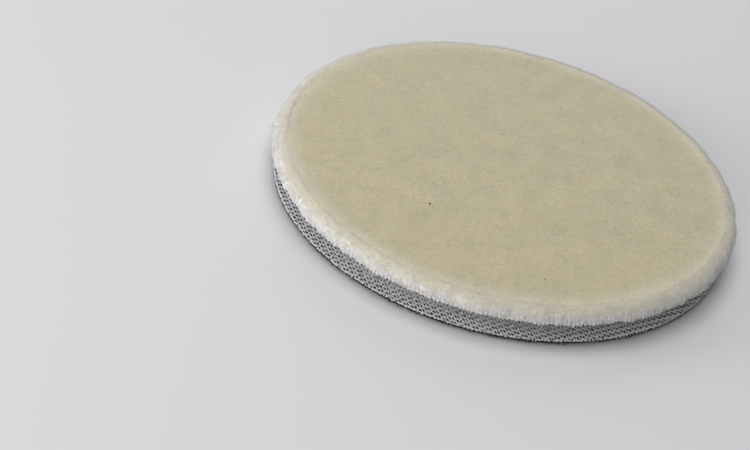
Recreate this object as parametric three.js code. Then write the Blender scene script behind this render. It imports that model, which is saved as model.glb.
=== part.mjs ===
// A wool polishing pad: a round, soft laminate that grips a backing plate by its loop face and polishes with
// its wool face. Millimetres. The origin is the centre of the loop face, and +Z points towards the wool face.
//
// From the loop face up, the pad is three fabrics held together by two hot-melt films:
//   loop fabric    a raised nap of loops on a knitted ground cloth
//   spacer mesh    a knitted lower face and upper face, held apart by a core of upright threads
//   pile fabric    a sheared wool pile, tied into a ground cloth

import * as THREE from "three";

// Driving dimensions.
const CUT_RADIUS = 75; // the loop fabric and the mesh's lower face, as punched
const EDGE_SLOPE = 2.4; // how far the cut edge leans in by the mesh's upper face, as soft layers spring back
const LOOP_NAP = 0.9; // thickness of the raised loops
const LOOP_GROUND = 0.35; // thickness of the cloth that the loops stand on
const FILM = 0.1; // thickness of each hot-melt film
const MESH_FACE = 0.6; // thickness of each knitted face of the spacer mesh
const MESH_CORE = 4.1; // gap that the upright threads hold between those faces
const PILE_GROUND = 0.7; // thickness of the cloth that the wool is tied into
const PILE_HEIGHT = 6.3; // height of the wool over its ground cloth
const PILE_SPREAD = 4.0; // how far the wool splays past the edge of its ground cloth
const PILE_WAIST = 2.4; // height over the ground cloth at which the wool is widest
const PILE_RIM = 4.6; // width of the rounded top edge of the wool
const PILE_CLIP = 0.2; // small step in from the ground cloth's edge at the roots of the wool

const SEGMENTS = 96;
const RIM_STEPS = 6;
const FLANK_STEPS = 3;

// Colours, roughness and metalness of each layer.
const finish = (color, roughness) => new THREE.MeshStandardMaterial({ color, roughness, metalness: 0 });
const FINISHES = {
  loopNap: finish("#16141d", 0.95),
  loopGround: finish("#1d1b24", 0.9),
  blackFilm: finish("#1b1a20", 0.6),
  milkyFilm: finish("#8f8d86", 0.6),
  meshFace: finish("#7d7f82", 0.85),
  meshCore: finish("#5f6164", 0.85),
  pileGround: finish("#d6d2c8", 0.9),
  pile: finish("#c9bf9f", 0.97),
};

const pad = new THREE.Group();

// Keeps every height exact, so that one layer ends on the very plane on which the next begins.
const exact = (value) => Math.round(value * 1e4) / 1e4;

// Turns a closed profile of [radius, height] points, which starts and ends on the axis, about +Z.
function turnedSolid(profile) {
  const points = profile.map(([radius, height]) => new THREE.Vector2(radius, height));
  const geometry = new THREE.LatheGeometry(points, SEGMENTS);
  geometry.rotateX(Math.PI / 2);
  return geometry;
}

function addLayer(name, geometry, material, bottom) {
  const mesh = new THREE.Mesh(geometry, material);
  mesh.name = name;
  mesh.position.z = bottom;
  pad.add(mesh);
}

// A punched cloth or film, whose cut edge may lean in towards the top.
function punchedDisc(thickness, bottomRadius, topRadius) {
  const profile = [
    [0, 0],
    [bottomRadius, 0],
    [topRadius, thickness],
    [0, thickness],
  ];
  return turnedSolid(profile);
}

// The wool stands on its cloth, splays out over the cut edge and is sheared flat, with a rounded top edge.
function woolPile(clothRadius) {
  const root = clothRadius - PILE_CLIP;
  const widest = clothRadius + PILE_SPREAD;
  const rimHeight = PILE_HEIGHT - PILE_WAIST;
  const profile = [
    [0, 0],
    [root, 0],
  ];
  for (let step = 1; step <= FLANK_STEPS; step += 1) {
    const share = step / FLANK_STEPS;
    const splay = Math.sin((share * Math.PI) / 2);
    profile.push([root + (widest - root) * splay, PILE_WAIST * share]);
  }
  for (let step = 1; step <= RIM_STEPS; step += 1) {
    const turn = (step / RIM_STEPS) * (Math.PI / 2);
    const radius = widest - PILE_RIM + PILE_RIM * Math.cos(turn);
    profile.push([radius, PILE_WAIST + rimHeight * Math.sin(turn)]);
  }
  profile.push([0, PILE_HEIGHT]);
  return turnedSolid(profile);
}

const UPPER_RADIUS = CUT_RADIUS - EDGE_SLOPE;

// Each flat layer from the loop face up: name, thickness, radius at its bottom and at its top, finish.
const LAYERS = [
  ["loop_nap", LOOP_NAP, CUT_RADIUS, CUT_RADIUS, FINISHES.loopNap],
  ["loop_ground_cloth", LOOP_GROUND, CUT_RADIUS, CUT_RADIUS, FINISHES.loopGround],
  ["loop_adhesive_film", FILM, CUT_RADIUS, CUT_RADIUS, FINISHES.blackFilm],
  ["mesh_lower_face", MESH_FACE, CUT_RADIUS, CUT_RADIUS, FINISHES.meshFace],
  ["mesh_core_threads", MESH_CORE, CUT_RADIUS, UPPER_RADIUS, FINISHES.meshCore],
  ["mesh_upper_face", MESH_FACE, UPPER_RADIUS, UPPER_RADIUS, FINISHES.meshFace],
  ["pile_adhesive_film", FILM, UPPER_RADIUS, UPPER_RADIUS, FINISHES.milkyFilm],
  ["pile_ground_cloth", PILE_GROUND, UPPER_RADIUS, UPPER_RADIUS, FINISHES.pileGround],
];

let height = 0;
for (const [name, thickness, bottomRadius, topRadius, material] of LAYERS) {
  addLayer(name, punchedDisc(thickness, bottomRadius, topRadius), material, height);
  height = exact(height + thickness);
}
addLayer("wool_pile", woolPile(UPPER_RADIUS), FINISHES.pile, height);

export default pad;
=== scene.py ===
"""A round wool polishing pad on a plain pale floor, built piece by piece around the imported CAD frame.
Metres.

The pad is a soft laminate. From the floor up: black loop fabric, a hot-melt film, a grey spacer mesh with
two knitted faces and upright threads between them, a second film, and wool pile tied into a ground cloth.
"""
import math

import bpy
import numpy as np
from mathutils import Matrix, Vector, noise


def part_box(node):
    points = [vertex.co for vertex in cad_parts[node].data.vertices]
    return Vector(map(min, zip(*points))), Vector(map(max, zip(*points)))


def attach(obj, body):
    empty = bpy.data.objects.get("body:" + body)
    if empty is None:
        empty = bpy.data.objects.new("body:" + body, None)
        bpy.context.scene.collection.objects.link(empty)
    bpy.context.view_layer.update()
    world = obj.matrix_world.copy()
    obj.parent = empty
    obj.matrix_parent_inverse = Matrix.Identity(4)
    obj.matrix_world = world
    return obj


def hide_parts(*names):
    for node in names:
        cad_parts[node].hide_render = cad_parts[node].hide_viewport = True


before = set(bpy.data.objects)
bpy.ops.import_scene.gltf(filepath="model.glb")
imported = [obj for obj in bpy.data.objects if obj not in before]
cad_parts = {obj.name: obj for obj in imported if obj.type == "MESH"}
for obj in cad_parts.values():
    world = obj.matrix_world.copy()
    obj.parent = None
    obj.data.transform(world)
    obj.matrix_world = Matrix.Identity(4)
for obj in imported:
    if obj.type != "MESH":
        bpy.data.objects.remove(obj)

MM = 0.001
SEED = 389
BODY = "root"
UP = np.array([0.0, 0.0, 1.0])
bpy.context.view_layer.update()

# Camera: where it looks from, and where the pad stands in its view.
CAMERA_LENS = 96.0  # in millimetres
CAMERA_SENSOR = 36.0  # in millimetres
CAMERA_ELEVATION = math.radians(35.14)
CAMERA_ROLL = math.radians(12.99)
PAD_IN_VIEW = Vector((40.94, 10.32, -654.57)) * MM  # centre of the mesh's underside, from the camera

# Wool pile.
PILE_WAIST_SHARE = 0.38  # how far up the pile is widest
PILE_RIM = 4.6 * MM  # width of the rounded top edge
PILE_SKIN = 0.35 * MM  # how far the loose fibre ends stand out of the dense body
PILE_RINGS = 138  # rings of the dense body's flat top
PILE_ROWS = 20  # rows round its rim and flank
LUMPS = ((0.13, 0.08 * MM), (0.55, 0.04 * MM), (1.4, 0.03 * MM))  # how fine, and how high
LOCK_DEPTH = 0.10 * MM
LOCK_START = 0.93  # of the widest radius
FRINGE_FIBRES = 14000
FRINGE_DEPTH = 0.34 * MM  # how deep under the outline the fibres are rooted
TUFT_FIBRES = 14000
TUFT_DEPTH = 0.25 * MM
TUFTS = 360  # round the cut edge
TUFT_DROP = 1.15 * MM  # how far they hang below the waist
SPECKS = ((-22.5 * MM, -32.9 * MM, 0.75 * MM), (15.7 * MM, -58.6 * MM, 0.45 * MM))  # place and length
FLANK_SPIKES = 45000
FLANK_DEPTH = 0.40 * MM
TIP_SPIKES = 48000  # in each ring
TIP_RINGS = 3  # of equal area
TIP_DEPTH = 0.45 * MM
FIBRE_ROUNDNESS = 0.35  # how much a fibre's own roundness shows in its shading
FIBRE_TAPER = np.array([1.0, 0.9, 0.4])  # of its radius at the root, half way and at the tip
PALE_RIM_PAINTED_LIGHT = 6.0 * MM  # how far in from the edge of the flat top the wool starts to pale, as painted light
RUFFLE = 0.55 * MM  # how far the wool's edge strays from a true round
RUFFLE_WAVES = (17, 29, 47, 83)  # round the edge
RUFFLE_START = 0.88  # of the widest radius

# Spacer mesh.
OPENING_PITCH = 2.56 * MM  # between large openings along a row
ROW_PITCH = 1.67 * MM  # from one staggered row to the next
NET_TURN = math.radians(-14.0)  # how the rows lie in the punched disc
LARGE_OPENING = 0.57  # of its cell's size
SMALL_OPENING = 0.56
SMALL_SHIFT = (0.0, 0.38 * MM)  # where a small opening lies from half way between two large ones
LARGE_CELL_GAIN = 0.08 * MM ** 2  # how much the yarns leave the large openings and crowd the small ones
KNOT_DIP = 0.4  # height of a yarn half way between two knots, as a share of a knot's
YARN_UNEVENNESS = 0.16  # of its height
SPACER_THREAD = 0.04 * MM  # radius
THREAD_SCATTER = 0.2 * MM
VISIBLE_CORE = 13 * MM  # how far in from its cut edge the core can be seen
CUT_ENDS = 6  # yarn ends in each bunch round a punched edge
BUNCH_SPREAD = 0.0028  # radians
ROOT_INSET = 0.35 * MM  # how far in from a punched edge yarn ends and loops are rooted
CLOTH_RINGS = 60  # rings of a plain cloth

# Loop fabric.
LOOP_PITCH = 1.55 * MM
LOOP_THREAD = 0.075 * MM  # radius
LOOP_LAYERS = 2  # pieces that the loops are shared between
FELT_RINGS = 120  # rings of the felted foot of the nap
FELT_SHARE = 0.45  # of the nap's thickness


def node_size(name):
    """Bottom, top and radius of a round CAD node."""
    low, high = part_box(name)
    return low.z, high.z, high.x


# ---------------------------------------------------------------- meshes


def make_mesh(name, vertices, faces, lie=None):
    """A smooth mesh. Fibres shade softly when lie gives the normals of the surface that they grow from."""
    mesh = bpy.data.meshes.new(name)
    mesh.from_pydata([tuple(v) for v in vertices], [], [tuple(f) for f in faces])
    mesh.update()
    mesh.polygons.foreach_set("use_smooth", [True] * len(mesh.polygons))
    if lie is not None:
        own = np.zeros(len(vertices) * 3, np.float32)
        mesh.vertex_normals.foreach_get("vector", own)
        per_strand = len(vertices) // len(lie)
        soft = unit(own.reshape(-1, 3) * FIBRE_ROUNDNESS + np.repeat(lie, per_strand, axis=0))
        mesh.normals_split_custom_set_from_vertices([tuple(v) for v in soft])
    return mesh


def add_piece(name, mesh, material, nodes=()):
    """Puts a piece in the scene, on the pad's body, in place of the CAD nodes that it stands for."""
    piece = bpy.data.objects.new(name, mesh)
    bpy.context.collection.objects.link(piece)
    mesh.materials.append(material)
    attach(piece, BODY)
    if nodes:
        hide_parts(*nodes)
    return piece


def unit(vectors):
    return vectors / np.maximum(np.linalg.norm(vectors, axis=-1, keepdims=True), 1e-12)


def any_way(random, count):
    """Random directions."""
    return unit(random.normal(0, 1, (count, 3)))


def rings_round(heading, reference, sides):
    """The corners of a small ring round each heading, turned to suit a reference direction."""
    across = unit(np.cross(heading, reference))
    other = np.cross(heading, across)
    turn = np.arange(sides) * 2 * math.pi / sides
    return across[..., None, :] * np.cos(turn)[:, None] + other[..., None, :] * np.sin(turn)[:, None]


def fibre_paths(base, direction, length, curl=None):
    """Three points along each fibre, which bends by its curl towards the tip."""
    steps = np.linspace(0, 1, 3)[:, None]
    reach = length[:, None, None]
    paths = base[:, None] + direction[:, None] * (steps * reach)
    if curl is not None:
        paths = paths + curl[:, None] * steps ** 2 * reach
    return paths


def strands(paths, radii, reference, sides=3):
    """Closed tubes, one along each row of points. Paths are (count, points, 3), radii (count, points)."""
    count, points, _ = paths.shape
    tangent = unit(np.gradient(paths, axis=1))
    ring = rings_round(tangent, reference[:, None, :], sides)
    vertices = (paths[:, :, None] + ring * radii[:, :, None, None]).reshape(-1, 3)
    index = np.arange(count * points * sides).reshape(count, points, sides)
    beside = np.roll(index, -1, axis=2)
    walls = np.stack([index[:, :-1], beside[:, :-1], beside[:, 1:], index[:, 1:]], -1).reshape(-1, 4)
    caps = np.concatenate([index[:, 0, ::-1], index[:, -1]])
    return vertices, walls.tolist() + caps.tolist()


def spikes(base, direction, length, width, reference):
    """Pointed fibre ends, one closed spike of four triangles at each base."""
    foot = base[:, None] + rings_round(direction, reference, 3) * width[:, None, None]
    tip = base + direction * length[:, None]
    vertices = np.concatenate([foot, tip[:, None]], axis=1).reshape(-1, 3)
    index = np.arange(len(base))[:, None] * 4
    faces = [index + np.array([corner]) for corner in ((0, 1, 3), (1, 2, 3), (2, 0, 3), (2, 1, 0))]
    return vertices, np.concatenate(faces).tolist()


def ring_disc(rings):
    """A disc's triangles in rings of 6, 12, 18... points. Returns each point's share of the radius, its
    angle, and the faces; the last 6 * rings points are the edge."""
    share = [0.0]
    angle = [0.0]
    faces = []
    start = 0
    for ring in range(rings):
        outer = 6 * (ring + 1)
        next_start = start + max(6 * ring, 1)
        share += [(ring + 1) / rings] * outer
        angle += [2 * math.pi * place / outer for place in range(outer)]
        for sector in range(6):
            for place in range(ring + 1):
                inner_a = start + (sector * ring + place) % max(6 * ring, 1)
                outer_a = next_start + sector * (ring + 1) + place
                outer_b = next_start + (sector * (ring + 1) + place + 1) % outer
                faces.append((inner_a, outer_a, outer_b))
                if place < ring:
                    inner_b = start + (sector * ring + place + 1) % (6 * ring)
                    faces.append((inner_a, outer_b, inner_b))
        start = next_start
    return np.array(share), np.array(angle), faces


def turned_body(rings, profile):
    """A closed round body: a flat top of ring_disc triangles, then rows of points down the profile, then a
    flat bottom. The profile is a list of (radius, height) from the edge of the top down."""
    share, angle, faces = ring_disc(rings)
    top_radius, top_height = profile[0]
    edge = 6 * rings
    radius = share * top_radius
    height = np.full(len(share), top_height)
    edge_angle = angle[-edge:]
    first = len(share) - edge
    for row, (row_radius, row_height) in enumerate(profile[1:]):
        radius = np.concatenate([radius, np.full(edge, row_radius)])
        height = np.concatenate([height, np.full(edge, row_height)])
        angle = np.concatenate([angle, edge_angle])
        above = first + row * edge
        for place in range(edge):
            beside = (place + 1) % edge
            faces.append((above + place, above + edge + place, above + edge + beside, above + beside))
    last = first + (len(profile) - 1) * edge
    faces.append(tuple(range(last + edge - 1, last - 1, -1)))
    return radius, angle, height, faces


def polar(radius, angle, height):
    return np.stack([radius * np.cos(angle), radius * np.sin(angle), height], -1)


def heading_out(angle):
    """Level directions away from the pad's axis."""
    return polar(np.ones(len(angle)), angle, np.zeros(len(angle)))


# ---------------------------------------------------------------- wool pile

PILE_BOTTOM, PILE_TOP, PILE_WIDEST = node_size("wool_pile")
CLOTH_BOTTOM, CLOTH_TOP, CLOTH_RADIUS = node_size("pile_ground_cloth")
PILE_WAIST = (PILE_TOP - PILE_BOTTOM) * PILE_WAIST_SHARE


def pile_outline(share):
    """The pile's outer shape: 0 is the root at the cloth's edge, 0.5 the waist, 1 the edge of the flat top.
    Returns radius, height and the outward normal's radial and upright parts."""
    quarter = math.pi / 2
    low = np.clip(share * 2, 0, 1) * quarter
    turn = np.clip(share * 2 - 1, 0, 1) * quarter
    spread = PILE_WIDEST - CLOTH_RADIUS
    rim_height = PILE_TOP - PILE_BOTTOM - PILE_WAIST
    below = share < 0.5
    rim_radius = PILE_WIDEST - PILE_RIM * (1 - np.cos(turn))
    radius = np.where(below, CLOTH_RADIUS + spread * np.sin(low), rim_radius)
    rise = np.where(below, PILE_WAIST * low / quarter, PILE_WAIST + rim_height * np.sin(turn))
    outward = np.where(below, PILE_WAIST / quarter, rim_height * np.cos(turn))
    upward = np.where(below, -spread * np.cos(low), PILE_RIM * np.sin(turn))
    size = np.hypot(outward, upward)
    return radius, PILE_BOTTOM + rise, outward / size, upward / size


def ruffled(points):
    """Points of the wool, moved out and in towards its edge, which isn't quite round."""
    points = np.array(points)
    radius = np.hypot(points[:, 0], points[:, 1])
    angle = np.arctan2(points[:, 1], points[:, 0])
    wave = sum(np.sin(angle * count + count) for count in RUFFLE_WAVES) / len(RUFFLE_WAVES)
    outer = np.clip((radius / PILE_WIDEST - RUFFLE_START) / 0.1, 0, 1)
    points[:, :2] *= (1 + RUFFLE * wave * outer / np.maximum(radius, MM))[:, None]
    return points


def lock(angle, height, count):
    """Noise that runs up the flank in locks, that many to each radian."""
    return noise.noise(Vector((math.cos(angle) * count, math.sin(angle) * count, height)))


def wool_body(material):
    """The dense wool under the loose ends, lumpy on top and clumped into upright locks round the flank."""
    shares = np.linspace(1, 0, PILE_ROWS)
    radius, height, outward, upward = pile_outline(shares)
    profile = list(zip(radius - outward * PILE_SKIN, height - upward * PILE_SKIN))
    radius, angle, height, faces = turned_body(PILE_RINGS, profile)
    points = polar(radius, angle, height)
    flanks = np.clip((radius / PILE_WIDEST - LOCK_START) / 0.06, 0, 1)
    for point, flank, own_angle in zip(points, flanks, angle):
        place = Vector(point) / MM
        lump = sum(noise.noise(place * scale) * size for scale, size in LUMPS)
        locks = lock(own_angle, place.z * 0.16, 38) + lock(own_angle, place.z * 0.2, 90) * 0.6
        push = locks * LOCK_DEPTH * flank
        point[0] += math.cos(own_angle) * push
        point[1] += math.sin(own_angle) * push
        point[2] += lump * (1 - flank * 0.5)
    mesh = make_mesh("wool_pile_body", ruffled(points), faces)
    piece = add_piece("wool_pile_body", mesh, material, ["wool_pile"])


def flank_places(random, count, depth):
    """Random places round the flank and rim, as deep under the outline. Returns share, angle, base and the
    directions along the pile towards its top, out of it, and round it."""
    share = random.uniform(0.0, 1.0, count)
    angle = random.uniform(0, 2 * math.pi, count)
    radius, height, outward, upward = pile_outline(share)
    base = polar(radius - outward * depth, angle, height - upward * depth)
    radial = heading_out(angle)
    around = heading_out(angle + math.pi / 2)
    normal = radial * outward[:, None] + UP * upward[:, None]
    along = -radial * upward[:, None] + UP * outward[:, None]
    return share, base, along, normal, around


def lifted(normal):
    """Shading normals for pale fibres that hang in their own light: none of them points down."""
    return unit(np.column_stack([normal[:, :2], np.maximum(normal[:, 2], 0.1)]))


def wool_fringe(random, material):
    """Fibres combed up and out round the flank and the rounded rim."""
    count = FRINGE_FIBRES
    share, base, along, normal, around = flank_places(random, count, FRINGE_DEPTH)
    flat = share[:, None] ** 3
    sway = around * random.normal(0, 0.12, (count, 1))
    direction = unit(along * (1 - flat) + normal * (0.12 + 0.9 * flat) + sway)
    length = (1.9 - 1.64 * share + random.normal(0, 0.06, count)) * MM
    paths = fibre_paths(base, direction, length, random.normal(0, 0.06, (count, 3)))
    radii = random.uniform(0.04, 0.065, (count, 1)) * MM * FIBRE_TAPER
    vertices, faces = strands(paths, radii, any_way(random, count))
    mesh = make_mesh("wool_pile_fringe", ruffled(vertices), faces, lie=lifted(normal))
    add_piece("wool_pile_fringe", mesh, material)


def wool_flank(random, material):
    """Short fibre ends that cover the flank and rim between the longer fibres."""
    count = FLANK_SPIKES
    share, base, along, normal, _ = flank_places(random, count, FLANK_DEPTH)
    flat = share[:, None] ** 3
    direction = unit(along * (1 - flat) + normal * (0.2 + 0.9 * flat) + random.normal(0, 0.3, (count, 3)))
    length = (random.uniform(0.6, 1.0, count) * (1 - flat[:, 0]) + 0.30 * flat[:, 0]) * MM
    width = random.uniform(0.04, 0.07, count) * MM
    vertices, faces = spikes(base, direction, length, width, any_way(random, count))
    mesh = make_mesh("wool_pile_flank", ruffled(vertices), faces, lie=lifted(normal))
    add_piece("wool_pile_flank", mesh, material)


def wool_tufts(random, material):
    """Tufts of white fibre that hang over the cut edge, one beside the next, each longest in its middle.
    Their whiteness is partly painted light.
    """
    count = TUFT_FIBRES
    tuft = random.integers(0, TUFTS, count)
    aside = random.uniform(-0.5, 0.5, count)
    angle = (tuft + aside) * 2 * math.pi / TUFTS
    share = random.uniform(0.40, 0.66, count)
    radius, height, outward, upward = pile_outline(share)
    base = polar(radius - outward * TUFT_DEPTH, angle, height - upward * TUFT_DEPTH)
    radial = heading_out(angle)
    around = heading_out(angle + math.pi / 2)
    inward = -aside[:, None] * 0.5 + random.normal(0, 0.08, (count, 1))
    direction = unit(radial * 0.16 - UP + around * inward + random.normal(0, 0.1, (count, 3)))
    drop = TUFT_DROP * random.uniform(0.7, 1.1, TUFTS)[tuft] * (0.55 + 0.45 * np.cos(aside * math.pi))
    foot = PILE_BOTTOM + PILE_WAIST - drop
    length = np.maximum(base[:, 2] - foot, 0.3 * MM) * random.uniform(0.85, 1.0, count)
    paths = fibre_paths(base, direction, length)
    radii = random.uniform(0.05, 0.08, (count, 1)) * MM * FIBRE_TAPER
    vertices, faces = strands(paths, radii, any_way(random, count))
    lie = unit(radial + UP * 0.6 + around * aside[:, None] * 0.8)
    mesh = make_mesh("wool_pile_tufts", ruffled(vertices), faces, lie=lie)
    add_piece("wool_pile_tufts", mesh, material)


def wool_specks(random, material):
    """Two tiny dark bits of chaff caught in the wool."""
    vertices = []
    faces = []
    for x, y, size in SPECKS:
        middle = np.array([x, y, PILE_TOP - 0.08 * MM])
        heading = random.uniform(0, math.pi)
        along = np.array([math.cos(heading), math.sin(heading), 0.15])
        path = middle + along * np.linspace(-0.5, 0.5, 4)[:, None] * size
        radii = np.array([[0.4, 1.0, 0.9, 0.3]]) * size * 0.3
        part, part_faces = strands(path[None], radii, unit(path[:1] + 1), 5)
        faces += [[index + len(vertices) for index in face] for face in part_faces]
        vertices += part.tolist()
    mesh = make_mesh("wool_pile_specks", vertices, faces)
    add_piece("wool_pile_specks", mesh, material)


def wool_tips(random, material, ring):
    """Sheared fibre ends, leaning every way, over one ring of the flat top."""
    count = TIP_SPIKES
    radius = np.sqrt(random.uniform(ring, ring + 1, count) / TIP_RINGS) * (PILE_WIDEST - PILE_RIM * 0.8)
    angle = random.uniform(0, 2 * math.pi, count)
    base = polar(radius, angle, np.full(count, PILE_TOP - TIP_DEPTH))
    heading = random.uniform(0, 2 * math.pi, count)
    tilt = random.uniform(0.3, 1.0, count)
    direction = np.stack([np.cos(heading) * np.sin(tilt), np.sin(heading) * np.sin(tilt), np.cos(tilt)], -1)
    length = random.uniform(0.38, 0.58, count) * MM
    width = random.uniform(0.035, 0.055, count) * MM
    vertices, faces = spikes(base, direction, length, width, any_way(random, count))
    name = f"wool_pile_tips_{ring + 1}"
    mesh = make_mesh(name, ruffled(vertices), faces, lie=np.tile(UP, (count, 1)))
    add_piece(name, mesh, material)


# ---------------------------------------------------------------- cloths


def ground_cloth(material):
    """The off-white cloth under the wool, its cut edge slightly wavy."""
    slope = 0.12 * MM
    profile = [(CLOTH_RADIUS - slope, CLOTH_TOP), (CLOTH_RADIUS, (CLOTH_TOP + CLOTH_BOTTOM) / 2),
               (CLOTH_RADIUS - slope, CLOTH_BOTTOM)]
    radius, angle, height, faces = turned_body(CLOTH_RINGS, profile)
    wave = np.sin(angle * 96) * 0.18 * MM * (radius / CLOTH_RADIUS) ** 30
    mesh = make_mesh("pile_ground_cloth_weave", polar(radius + wave, angle, height), faces)
    piece = add_piece("pile_ground_cloth_weave", mesh, material, ["pile_ground_cloth"])


# ---------------------------------------------------------------- spacer mesh


def openings(places, rows):
    """The centres of openings counted along and across the knit's rows, and whether each is a large one."""
    along = np.array([math.cos(NET_TURN), math.sin(NET_TURN)]) * OPENING_PITCH
    across = np.array([-math.sin(NET_TURN), math.cos(NET_TURN)]) * ROW_PITCH
    places = places.ravel()
    rows = rows.ravel()
    large = places % 2 == 0
    centres = places[:, None] * (along / 2 + across) / 2 + rows[:, None] * (along / 2 - across)
    return centres + np.where(large[:, None], 0, SMALL_SHIFT), large


def net_cells(limit):
    """The openings as far as limit from the middle."""
    reach = int(3 * limit / OPENING_PITCH)
    count = np.arange(-reach, reach + 1)
    centres, large = openings(*np.meshgrid(count, count))
    near = np.hypot(*centres.T) < limit + OPENING_PITCH
    return centres[near], large[near]


def cell_corners(is_large):
    """The corners of the part of the knit that is nearest to one opening, a little more than that for a
    large opening. In order, and from the opening's centre."""
    start = 0 if is_large else 1
    centres, large = openings(*np.meshgrid(np.arange(-4, 5) + start, np.arange(-4, 5)))
    own = openings(np.array([start]), np.array([0]))[0][0]
    reach = 2 * OPENING_PITCH
    square = ((-reach, -reach), (reach, -reach), (reach, reach), (-reach, reach))
    corners = [np.array(corner) for corner in square]
    for way, other_large in zip(centres - own, large):
        if not way.any():
            continue
        border = (way @ way + LARGE_CELL_GAIN * (int(is_large) - int(other_large))) / 2
        kept = []
        for place, corner in enumerate(corners):
            before = corners[place - 1]
            beyond = corner @ way - border
            beyond_before = before @ way - border
            if beyond * beyond_before < 0:
                kept.append(before + (corner - before) * (beyond_before / (beyond_before - beyond)))
            if beyond <= 0:
                kept.append(corner)
        corners = kept
    return corners


class Net:
    """The vertices and faces of a knit with six-sided openings, punched to a disc."""

    def __init__(self, bottom, top, radius):
        self.middle = (bottom + top) / 2
        self.half = (top - bottom) / 2
        self.radius = radius
        self.vertices = []
        self.faces = []
        self.index_of = {}

    def vertex(self, flat, rise):
        """The index of a vertex at that place in plan, and whether the punch cut it. Rise is 1 at the upper
        surface, 0 half way down and -1 at the lower surface."""
        distance = math.hypot(*flat)
        cut = distance >= self.radius
        if cut:
            flat = flat * (self.radius / distance)
            rise = 0.0
        key = (round(flat[0] / MM, 2), round(flat[1] / MM, 2), round(rise, 1))
        if key not in self.index_of:
            self.index_of[key] = len(self.vertices)
            uneven = noise.noise(Vector((flat[0], flat[1], rise)) / MM * 1.9) * YARN_UNEVENNESS
            height = self.middle + rise * self.half * (1 - YARN_UNEVENNESS + uneven)
            self.vertices.append((flat[0], flat[1], height))
        return self.index_of[key], cut

    def face(self, corners, upward):
        face = [index for index, _ in corners]
        face = [index for spot, index in enumerate(face) if index != face[spot - 1]]
        if len(set(face)) > 2:
            self.faces.append(face if upward else face[::-1])

    def cell(self, centre, corners, hole):
        """The yarns round one opening. They stand highest at the knots, at the cell's corners, and fall to
        the opening's edge, half way through the knit."""
        inner = [self.vertex(centre + point, 0.0) for point in hole]
        upper = [self.vertex(centre + corner, 1.0) for corner in corners]
        lower = [self.vertex(centre + corner, -1.0) for corner in corners]
        for place in range(len(corners)):
            beside = (place + 1) % len(corners)
            dip = self.vertex(centre + (corners[place] + corners[beside]) / 2, KNOT_DIP)
            at_rim = [dip] if dip[1] else []
            if all(cut for _, cut in (upper[place], dip, upper[beside], inner[beside], inner[place])):
                continue
            self.face([upper[place], dip, inner[place]], True)
            self.face([dip, upper[beside], inner[beside], inner[place]], True)
            self.face([lower[place], *at_rim, lower[beside], inner[beside], inner[place]], False)


def knitted_net(name, bottom, top, radius, random):
    """A knit of staggered openings, alternately large and small, punched to a disc."""
    net = Net(bottom, top, radius)
    corners_of = (cell_corners(False), cell_corners(True))
    for centre, is_large in zip(*net_cells(radius)):
        corners = corners_of[int(is_large)]
        if min(math.hypot(*(centre + corner)) for corner in corners) >= radius:
            continue
        share = (LARGE_OPENING if is_large else SMALL_OPENING) * random.uniform(0.88, 1.12)
        net.cell(centre, corners, [corner * share for corner in corners])
    return make_mesh(name, net.vertices, net.faces)


def mesh_face(name, node, random, material):
    """A knitted face of the spacer mesh, in place of its CAD disc."""
    bottom, top, radius = node_size(node)
    net = knitted_net(name, bottom, top, radius, random)
    piece = add_piece(name, net, material, [node])


def spacer_threads(random, material):
    """Monofilament threads in leaning pairs, from each cell of the lower face to the upper face. They stand
    three times as close where they can be seen."""
    bottom, top, radius = node_size("mesh_core_threads")
    centres, large = net_cells(radius)
    seen = np.hypot(*centres.T) > radius - VISIBLE_CORE
    centres = np.concatenate([centres, centres[seen], centres[seen]])
    large = np.concatenate([large, large[seen], large[seen]])
    lean = np.where(large, 1.0, -1.0)[:, None] * openings(np.array([1]), np.array([0]))[0]
    start = centres + cell_corners(True)[0] + random.normal(0, THREAD_SCATTER, centres.shape)
    end = start + lean + random.normal(0, THREAD_SCATTER, centres.shape)
    inset = 0.1 * MM
    upper_radius = node_size("mesh_upper_face")[2]
    fits = (np.hypot(*start.T) < radius - inset) & (np.hypot(*end.T) < upper_radius - inset)
    start = start[fits]
    end = end[fits]
    steps = np.linspace(0, 1, 3)
    flat = start[:, None] + (end - start)[:, None] * steps[:, None]
    bulge = random.normal(0, 0.22 * MM, (len(start), 1, 2)) * np.sin(steps * math.pi)[:, None]
    anchor = 0.2 * MM
    rise = bottom - anchor + steps * (top - bottom + 2 * anchor)
    height = np.broadcast_to(rise, (len(start), 3))
    paths = np.concatenate([flat + bulge, height[..., None]], axis=-1)
    radii = np.full(paths.shape[:2], SPACER_THREAD)
    reference = np.tile([[0.3, 0.9, 0.1]], (len(start), 1))
    vertices, faces = strands(paths, radii, reference)
    mesh = make_mesh("mesh_spacer_threads", vertices, faces)
    piece = add_piece("mesh_spacer_threads", mesh, material, ["mesh_core_threads"])


def cut_ends(name, node, bunches, length, random, material):
    """Frayed yarn ends round the punched edge of a knitted face, one bunch beside the next."""
    bottom, top, radius = node_size(node)
    total = bunches * CUT_ENDS
    angle = np.repeat(np.arange(bunches) * 2 * math.pi / bunches, CUT_ENDS)
    angle = angle + random.normal(0, BUNCH_SPREAD, total)
    height = bottom + (top - bottom) * random.uniform(0.35, 0.9, total)
    base = polar(np.full(total, radius - ROOT_INSET), angle, height)
    radial = heading_out(angle)
    direction = unit(radial - UP * 0.4 + random.normal(0, 0.45, (total, 3)))
    reach = random.uniform(0.6, 1.1, total) * length
    paths = fibre_paths(base, direction, reach, random.normal(0, 0.25, (total, 3)))
    radii = random.uniform(0.09, 0.13, (total, 1)) * MM * np.array([1.0, 1.0, 0.6])
    vertices, faces = strands(paths, radii, any_way(random, total))
    lie = unit(radial * 0.7 + UP)
    add_piece(name, make_mesh(name, vertices, faces, lie=lie), material)


# ---------------------------------------------------------------- loop fabric


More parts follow.
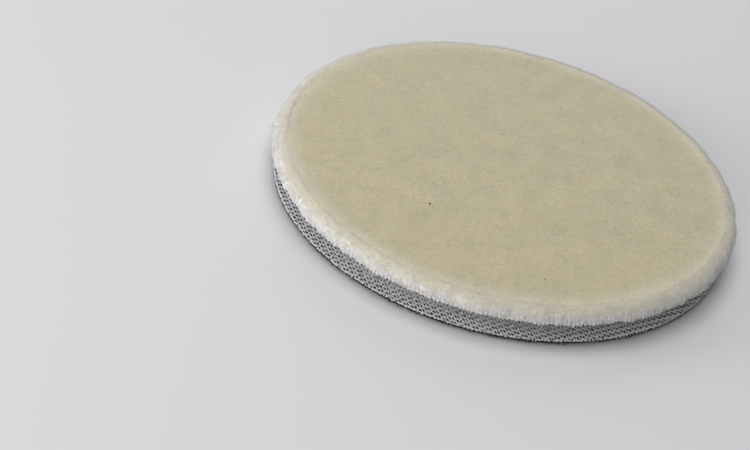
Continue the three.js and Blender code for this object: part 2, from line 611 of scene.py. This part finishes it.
def loop_ground(material):
    """The fine black knit that the loops stand on."""
    bottom, top, radius = node_size("loop_ground_cloth")
    radius_at, angle, height, faces = turned_body(CLOTH_RINGS, [(radius, top), (radius, bottom)])
    mesh = make_mesh("loop_ground_knit", polar(radius_at, angle, height), faces)
    return add_piece("loop_ground_knit", mesh, material, ["loop_ground_cloth"])


def loop_felt(material):
    """The dense inner part of the nap, matted and uneven, that the free loops stand out of."""
    bottom, top, radius = node_size("loop_nap")
    depth = (top - bottom) * FELT_SHARE
    edge = radius - ROOT_INSET
    upside_down = [(edge - 0.2 * MM, depth - top), (edge, depth * 0.7 - top), (edge, -top)]
    radius_at, angle, height, faces = turned_body(FELT_RINGS, upside_down)
    points = polar(radius_at, angle, -height)
    faces = [face[::-1] for face in faces]
    for point in points:
        if point[2] < top - 0.01 * MM:
            point[2] += noise.noise(Vector(point) / MM * 0.9) * 0.25 * MM
        point[:2] *= 1 + noise.noise(Vector(point) / MM * 1.3) * 0.0012
    return add_piece("loop_nap_felt", make_mesh("loop_nap_felt", points, faces), material)


def loop_nap(random, material, layer):
    """One layer of raised loops, brushed every way, from the knit down to the floor."""
    bottom, top, radius = node_size("loop_nap")
    grid = np.arange(-radius, radius, LOOP_PITCH)
    across, along = np.meshgrid(grid, grid)
    places = np.stack([across.ravel(), along.ravel()], -1)
    places = places + random.normal(0, 0.3 * LOOP_PITCH, places.shape)
    places = places[np.hypot(*places.T) < radius - ROOT_INSET]
    count = len(places)
    heading = random.uniform(0, 2 * math.pi, count)
    half = random.uniform(0.35, 0.62, count) * MM
    steps = np.linspace(0, math.pi, 5)
    side = np.cos(steps) * half[:, None] * (1 + 0.35 * np.sin(steps))
    depth = np.sin(steps) * (top - bottom - LOOP_THREAD) * random.uniform(0.75, 1.0, (count, 1))
    lean = np.sin(steps) * random.normal(0, 0.28 * MM, (count, 1))
    x = places[:, :1] + np.cos(heading)[:, None] * side - np.sin(heading)[:, None] * lean
    y = places[:, 1:] + np.sin(heading)[:, None] * side + np.cos(heading)[:, None] * lean
    paths = np.stack([x, y, top + 0.05 * MM - depth], -1)
    distance = np.maximum(np.hypot(paths[..., 0], paths[..., 1]), 1e-9)
    paths[..., :2] *= np.minimum(1, (radius - LOOP_THREAD) / distance)[..., None]
    radii = np.full(paths.shape[:2], LOOP_THREAD)
    vertices, faces = strands(paths, radii, any_way(random, count))
    name = f"loop_nap_loops_{layer + 1}"
    nodes = ["loop_nap"] if layer == 0 else []
    return add_piece(name, make_mesh(name, vertices, faces), material, nodes)


# ---------------------------------------------------------------- materials


class Nodes:
    """A material's node tree, with short calls for the nodes that these materials share."""

    def __init__(self, name, roughness, sheen=0.0, sheen_roughness=0.5):
        self.material = bpy.data.materials.new(name)
        self.material.use_nodes = True
        self.tree = self.material.node_tree
        self.shader = self.tree.nodes["Principled BSDF"]
        self.shader.inputs["Roughness"].default_value = roughness
        self.shader.inputs["Sheen Weight"].default_value = sheen
        self.shader.inputs["Sheen Roughness"].default_value = sheen_roughness
        self.shader.inputs["Specular IOR Level"].default_value = 0.25
        self.place = self.tree.nodes.new("ShaderNodeTexCoord").outputs["Object"]

    def link(self, source, target):
        self.tree.links.new(source, target)
        return target

    def noise(self, size, detail=2.0, roughness=0.5, place=None):
        """Noise whose features are about that size, in metres."""
        node = self.tree.nodes.new("ShaderNodeTexNoise")
        node.inputs["Scale"].default_value = 1.0 / size
        node.inputs["Detail"].default_value = detail
        node.inputs["Roughness"].default_value = roughness
        self.link(place or self.place, node.inputs["Vector"])
        return node.outputs["Fac"]

    def ramp(self, value, low, high, to_low=0.0, to_high=1.0):
        node = self.tree.nodes.new("ShaderNodeMapRange")
        node.interpolation_type = "SMOOTHSTEP"
        limits = {"From Min": low, "From Max": high, "To Min": to_low, "To Max": to_high}
        for socket, number in limits.items():
            node.inputs[socket].default_value = number
        self.link(value, node.inputs["Value"])
        return node.outputs["Result"]

    def maths(self, operation, first, second):
        node = self.tree.nodes.new("ShaderNodeMath")
        node.operation = operation
        for socket, value in zip(node.inputs, (first, second)):
            if isinstance(value, (int, float)):
                socket.default_value = value
            else:
                self.link(value, socket)
        return node.outputs["Value"]

    def mix(self, factor, first, second):
        """Colour between first and second, each a colour or a socket."""
        node = self.tree.nodes.new("ShaderNodeMix")
        node.data_type = "RGBA"
        self.link(factor, node.inputs["Factor"])
        for socket, colour in ((node.inputs[6], first), (node.inputs[7], second)):
            if isinstance(colour, tuple):
                socket.default_value = (*colour, 1.0)
            else:
                self.link(colour, socket)
        return node.outputs[2]

    def radius(self):
        """Distance from the pad's axis."""
        flat = self.tree.nodes.new("ShaderNodeVectorMath")
        flat.operation = "MULTIPLY"
        flat.inputs[1].default_value = (1, 1, 0)
        self.link(self.place, flat.inputs[0])
        size = self.tree.nodes.new("ShaderNodeVectorMath")
        size.operation = "LENGTH"
        self.link(flat.outputs["Vector"], size.inputs[0])
        return size.outputs["Value"]

    def height(self):
        split = self.tree.nodes.new("ShaderNodeSeparateXYZ")
        self.link(self.place, split.inputs["Vector"])
        return split.outputs["Z"]

    def bump(self, value, distance, strength=1.0):
        node = self.tree.nodes.new("ShaderNodeBump")
        node.inputs["Distance"].default_value = distance
        node.inputs["Strength"].default_value = strength
        self.link(value, node.inputs["Height"])
        self.link(node.outputs["Normal"], self.shader.inputs["Normal"])

    def colour(self, colour):
        self.link(colour, self.shader.inputs["Base Color"])


def wool_material():
    """Cream wool: yellower on the face, paler round the rim and flank, with soft and fine mottling. The
    paler rim and flank are painted light, standing in for light that shines through and glances off the
    fibres there.
    """
    nodes = Nodes("wool", roughness=0.75, sheen=0.5, sheen_roughness=0.45)
    nodes.shader.inputs["Sheen Tint"].default_value = (0.93, 0.97, 1.0, 1.0)
    nodes.shader.inputs["Subsurface Weight"].default_value = 0.5
    nodes.shader.inputs["Subsurface Radius"].default_value = (1.0, 0.95, 0.85)
    nodes.shader.inputs["Subsurface Scale"].default_value = 1.2 * MM
    inner = PILE_WIDEST - PILE_RIM
    # Painted light: paler towards the rim (pale) and further down the flank (white), standing in for light
    # that shines through and glances off the fibres there.
    pale = nodes.ramp(nodes.radius(), inner - PALE_RIM_PAINTED_LIGHT, inner + 0.75 * PILE_RIM, 0.0, 0.4)
    white = nodes.ramp(nodes.height(), PILE_BOTTOM + 0.8 * PILE_WAIST, PILE_TOP - 0.2 * MM, 0.7, 0.0)
    out = nodes.maths("ADD", pale, white)
    patch = nodes.ramp(nodes.noise(9 * MM, detail=3.0), 0.3, 0.7)
    fine = nodes.ramp(nodes.noise(1.1 * MM, detail=3.0, roughness=0.6), 0.3, 0.72)
    face = nodes.mix(patch, (0.573, 0.508, 0.321), (0.625, 0.556, 0.362))
    face = nodes.mix(fine, (0.531, 0.470, 0.291), face)
    # The pale colour that this painted light mixes in round the rim and flank.
    flank = nodes.mix(fine, (0.868, 0.846, 0.783), (0.930, 0.910, 0.852))
    nodes.colour(nodes.mix(out, face, flank))
    nodes.bump(nodes.noise(0.6 * MM, detail=2.0), 0.1 * MM, 0.35)
    return nodes.material


def tuft_painted_light_material():
    """The whitest wool, for the hanging tufts: paler than the rest of the wool, partly as painted light
    standing in for light that shines through the thin fibres.
    """
    nodes = Nodes("wool_tufts", roughness=0.8, sheen=0.3)
    fine = nodes.ramp(nodes.noise(0.7 * MM, detail=2.0), 0.3, 0.7)
    nodes.colour(nodes.mix(fine, (0.84, 0.82, 0.77), (0.95, 0.935, 0.895)))
    return nodes.material


def chaff_material():
    """Dark brown husk."""
    nodes = Nodes("chaff", roughness=0.7)
    nodes.colour(nodes.mix(nodes.noise(0.2 * MM), (0.045, 0.030, 0.018), (0.095, 0.065, 0.040)))
    return nodes.material


def ground_cloth_material():
    """Off-white cotton, speckled by its weave."""
    nodes = Nodes("pile_ground", roughness=0.9, sheen=0.2)
    fine = nodes.noise(0.4 * MM, detail=2.0)
    nodes.colour(nodes.mix(fine, (0.52, 0.50, 0.45), (0.76, 0.73, 0.67)))
    nodes.bump(nodes.noise(0.6 * MM), 0.15 * MM, 0.6)
    return nodes.material


def knit_material():
    """Light grey polyester yarn of many fine filaments."""
    nodes = Nodes("mesh_knit", roughness=0.6, sheen=0.15)
    fine = nodes.ramp(nodes.noise(0.35 * MM, detail=2.0), 0.3, 0.7)
    patch = nodes.noise(6 * MM)
    grey = nodes.mix(fine, (0.55, 0.55, 0.565), (0.93, 0.93, 0.94))
    nodes.colour(nodes.mix(patch, grey, (0.82, 0.82, 0.835)))
    nodes.bump(nodes.noise(0.25 * MM), 0.08 * MM, 0.7)
    return nodes.material


def cut_end_highlight_material():
    """The same yarn where it is cut and frays, painted paler than the knit: a painted highlight standing in
    for the light that the frayed ends catch.
    """
    nodes = Nodes("mesh_cut_ends_painted_highlight", roughness=0.6, sheen=0.3)
    fine = nodes.ramp(nodes.noise(0.9 * MM, detail=2.0), 0.3, 0.7)
    nodes.colour(nodes.mix(fine, (0.74, 0.74, 0.75), (0.97, 0.97, 0.98)))
    return nodes.material


def thread_material():
    """Pale grey monofilament, smoother than yarn."""
    nodes = Nodes("mesh_threads", roughness=0.4)
    fine = nodes.noise(0.8 * MM)
    nodes.colour(nodes.mix(fine, (0.74, 0.745, 0.76), (0.90, 0.905, 0.92)))
    return nodes.material


def loop_material(name, light):
    """Black nylon with a slightly blue cast, uneven where the loops are brushed."""
    nodes = Nodes(name, roughness=0.85, sheen=0.12)
    patch = nodes.noise(4 * MM, detail=3.0)
    fine = nodes.noise(0.5 * MM)
    dark = nodes.mix(patch, (0.006, 0.0055, 0.010), (0.011, 0.010, 0.015))
    nodes.colour(nodes.mix(fine, dark, light))
    nodes.bump(fine, 0.1 * MM, 0.6)
    return nodes.material


def film_material(name, dark, light):
    """Hot-melt film, cloudy and slightly rippled."""
    nodes = Nodes(name, roughness=0.55)
    nodes.colour(nodes.mix(nodes.noise(1.5 * MM, detail=3.0), dark, light))
    nodes.bump(nodes.noise(2.5 * MM), 0.05 * MM, 0.5)
    return nodes.material


def finish_cad_node(name, material):
    """Gives a CAD node that stays its finished material."""
    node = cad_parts[name]
    for slot in node.material_slots:
        slot.link = "OBJECT"
        slot.material = material


# ---------------------------------------------------------------- studio


def floor():
    """A plain pale floor."""
    nodes = Nodes("floor", roughness=0.7)
    nodes.colour(nodes.mix(nodes.noise(0.25, detail=1.0), (0.700, 0.702, 0.712), (0.715, 0.716, 0.724)))
    size = 3.0
    corners = [(-size, -size, 0), (size, -size, 0), (size, size, 0), (-size, size, 0)]
    mesh = make_mesh("floor", corners, [(0, 1, 2, 3)])
    mesh.materials.append(nodes.material)
    plane = bpy.data.objects.new("floor", mesh)
    bpy.context.collection.objects.link(plane)


def area_light(name, place, size, power, colour):
    data = bpy.data.lights.new(name, "AREA")
    data.shape = "DISK"
    data.size = size
    data.energy = power
    data.color = colour
    light = bpy.data.objects.new(name, data)
    light.location = place
    light.rotation_euler = (-Vector(place)).to_track_quat("-Z", "Y").to_euler()
    bpy.context.collection.objects.link(light)


def studio():
    """Soft lights round the pad, and a dim even surround."""
    scene = bpy.context.scene
    scene.view_settings.view_transform = "Standard"
    world = bpy.data.worlds.new("studio")
    world.use_nodes = True
    background = world.node_tree.nodes["Background"]
    background.inputs["Color"].default_value = (0.93, 0.96, 1.0, 1.0)
    background.inputs["Strength"].default_value = 0.10
    scene.world = world
    area_light("window", (-0.70, -0.20, 0.15), 0.4, 2.9, (1.0, 0.99, 1.0))
    area_light("back_wall", (0.0, 0.90, 0.50), 0.8, 3.1, (0.98, 0.97, 1.0))
    area_light("ceiling", (-0.10, 0.10, 1.20), 1.0, 7.2, (1.0, 0.99, 1.0))
    area_light("room", (-0.20, -1.0, 0.50), 0.8, 4.0, (1.0, 0.98, 1.0))
    area_light("room_left", (-0.85, -0.55, 0.45), 0.8, 0.8, (0.98, 1.0, 1.0))


def camera():
    """A camera as high over the pad and as far turned about its own axis as in the photograph."""
    data = bpy.data.cameras.new("camera")
    data.lens = CAMERA_LENS
    data.sensor_width = CAMERA_SENSOR
    turn = Matrix.Rotation(math.pi / 2 - CAMERA_ELEVATION, 3, "X") @ Matrix.Rotation(CAMERA_ROLL, 3, "Z")
    centre = Vector((0, 0, node_size("mesh_lower_face")[0]))
    view = bpy.data.objects.new("camera", data)
    view.matrix_world = Matrix.LocRotScale(centre - turn @ PAD_IN_VIEW, turn.to_quaternion(), None)
    bpy.context.collection.objects.link(view)
    bpy.context.scene.camera = view


def build():
    random = np.random.default_rng(SEED)
    wool = wool_material()
    knit = knit_material()
    wool_body(wool)
    wool_fringe(random, wool)
    wool_flank(random, wool)
    wool_tufts(random, tuft_painted_light_material())
    wool_specks(random, chaff_material())
    for ring in range(TIP_RINGS):
        wool_tips(random, wool, ring)
    nap_black = loop_material("loop_nap", (0.022, 0.021, 0.028))
    loops = [loop_nap(random, nap_black, layer) for layer in range(LOOP_LAYERS)]
    felt = loop_felt(nap_black)
    ground = loop_ground(loop_material("loop_ground", (0.014, 0.013, 0.018)))
    mesh_face("mesh_lower_net", "mesh_lower_face", random, knit)
    mesh_face("mesh_upper_net", "mesh_upper_face", random, knit)
    spacer_threads(random, thread_material())
    # Paler yarn for the cut ends, a painted highlight.
    frayed = cut_end_highlight_material()
    cut_ends("mesh_lower_cut_ends", "mesh_lower_face", bunches=360, length=0.55 * MM,
             random=random, material=frayed)
    cut_ends("mesh_upper_cut_ends", "mesh_upper_face", bunches=340, length=0.40 * MM,
             random=random, material=frayed)
    ground_cloth(ground_cloth_material())
    black = film_material("film_black", (0.035, 0.035, 0.038), (0.065, 0.065, 0.070))
    milky = film_material("film_milky", (0.36, 0.35, 0.32), (0.50, 0.49, 0.45))
    finish_cad_node("loop_adhesive_film", black)
    finish_cad_node("pile_adhesive_film", milky)


build()
floor()
studio()
camera()
